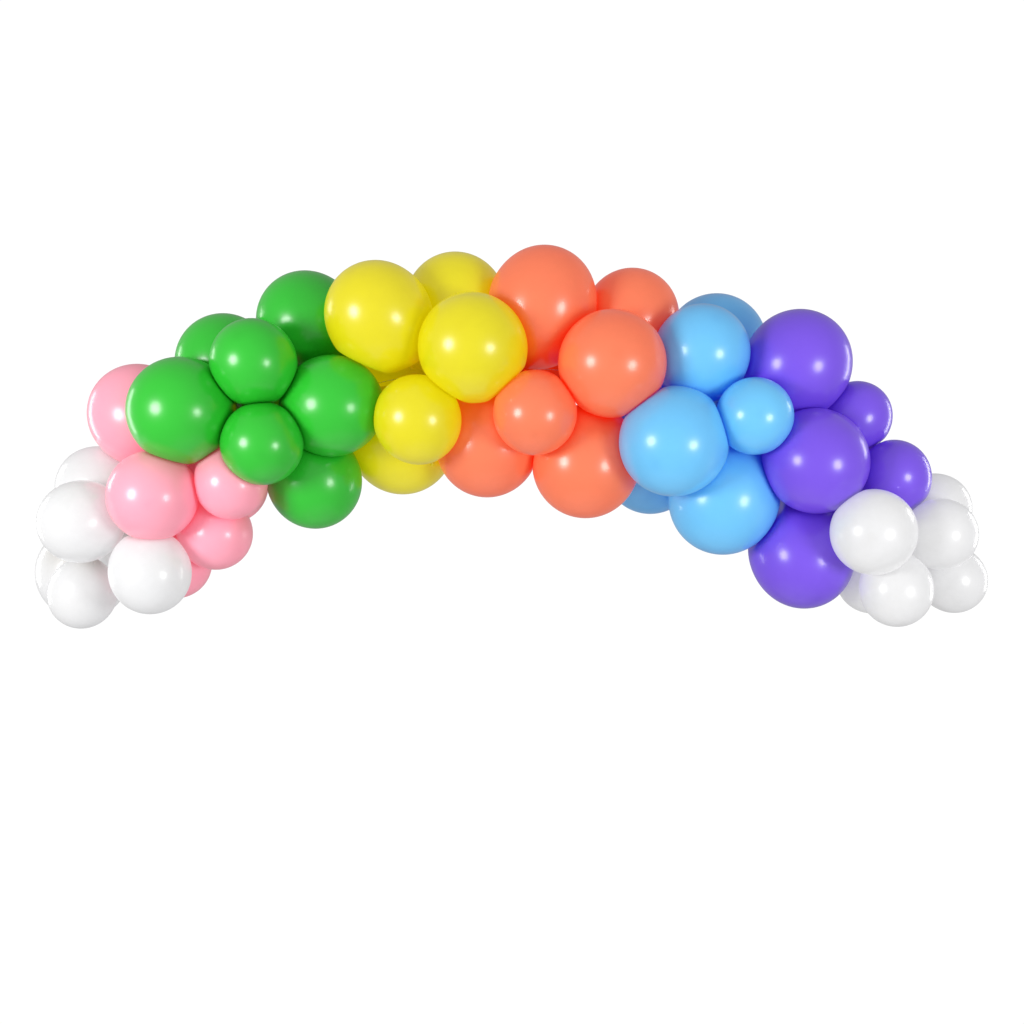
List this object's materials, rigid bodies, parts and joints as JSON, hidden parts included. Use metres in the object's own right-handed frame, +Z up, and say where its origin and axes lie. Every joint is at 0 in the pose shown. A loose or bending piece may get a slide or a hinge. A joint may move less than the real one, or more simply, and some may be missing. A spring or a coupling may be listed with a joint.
{
  "type": "balloon garland",
  "caption": "Low arched garland of blown latex balloons in rainbow colour groups with white ends, tied and stuck along a punched strip, made to hang.",
  "frame": {"origin": "middle hole of the strip, at the crown of the arch, where the garland hangs", "axes": "+X along the garland to the right as seen from the front, +Z up, the front looks along -Y"},
  "size_m": [2.4649, 0.6766, 0.9559],
  "materials": {
    "white_latex": "opaque satin-gloss latex",
    "pink_latex": "opaque satin-gloss latex",
    "green_latex": "opaque satin-gloss latex",
    "yellow_latex": "opaque satin-gloss latex",
    "coral_latex": "opaque satin-gloss latex",
    "blue_latex": "opaque satin-gloss latex",
    "purple_latex": "opaque satin-gloss latex",
    "strip_plastic": "clear, slightly milky plastic"
  },
  "bodies": {
    "root": {"left_white_balloon_1": "white_latex", "left_white_balloon_2": "white_latex", "left_white_balloon_3": "white_latex", "left_white_balloon_4": "white_latex", "left_white_balloon_5": "white_latex", "left_white_balloon_6": "white_latex", "pink_balloon_1": "pink_latex", "pink_balloon_2": "pink_latex", "pink_balloon_3": "pink_latex", "pink_balloon_4": "pink_latex", "pink_balloon_5": "pink_latex", "pink_balloon_6": "pink_latex", "pink_balloon_7": "pink_latex", "green_balloon_1": "green_latex", "green_balloon_2": "green_latex", "green_balloon_3": "green_latex", "green_balloon_4": "green_latex", "green_balloon_5": "green_latex", "green_balloon_6": "green_latex", "green_balloon_7": "green_latex", "green_balloon_8": "green_latex", "yellow_balloon_1": "yellow_latex", "yellow_balloon_2": "yellow_latex", "yellow_balloon_3": "yellow_latex", "yellow_balloon_4": "yellow_latex", "yellow_balloon_5": "yellow_latex", "yellow_balloon_6": "yellow_latex", "yellow_balloon_7": "yellow_latex", "coral_balloon_1": "coral_latex", "coral_balloon_2": "coral_latex", "coral_balloon_3": "coral_latex", "coral_balloon_4": "coral_latex", "coral_balloon_5": "coral_latex", "coral_balloon_6": "coral_latex", "coral_balloon_7": "coral_latex", "coral_balloon_8": "coral_latex", "blue_balloon_1": "blue_latex", "blue_balloon_2": "blue_latex", "blue_balloon_3": "blue_latex", "blue_balloon_4": "blue_latex", "blue_balloon_5": "blue_latex", "blue_balloon_6": "blue_latex", "blue_balloon_7": "blue_latex", "blue_balloon_8": "blue_latex", "purple_balloon_1": "purple_latex", "purple_balloon_2": "purple_latex", "purple_balloon_3": "purple_latex", "purple_balloon_4": "purple_latex", "purple_balloon_5": "purple_latex", "purple_balloon_6": "purple_latex", "purple_balloon_7": "purple_latex", "right_white_balloon_1": "white_latex", "right_white_balloon_2": "white_latex", "right_white_balloon_3": "white_latex", "right_white_balloon_4": "white_latex", "right_white_balloon_5": "white_latex", "right_white_balloon_6": "white_latex", "right_white_balloon_7": "white_latex", "balloon_strip": "strip_plastic"}
  },
  "joints": []
}
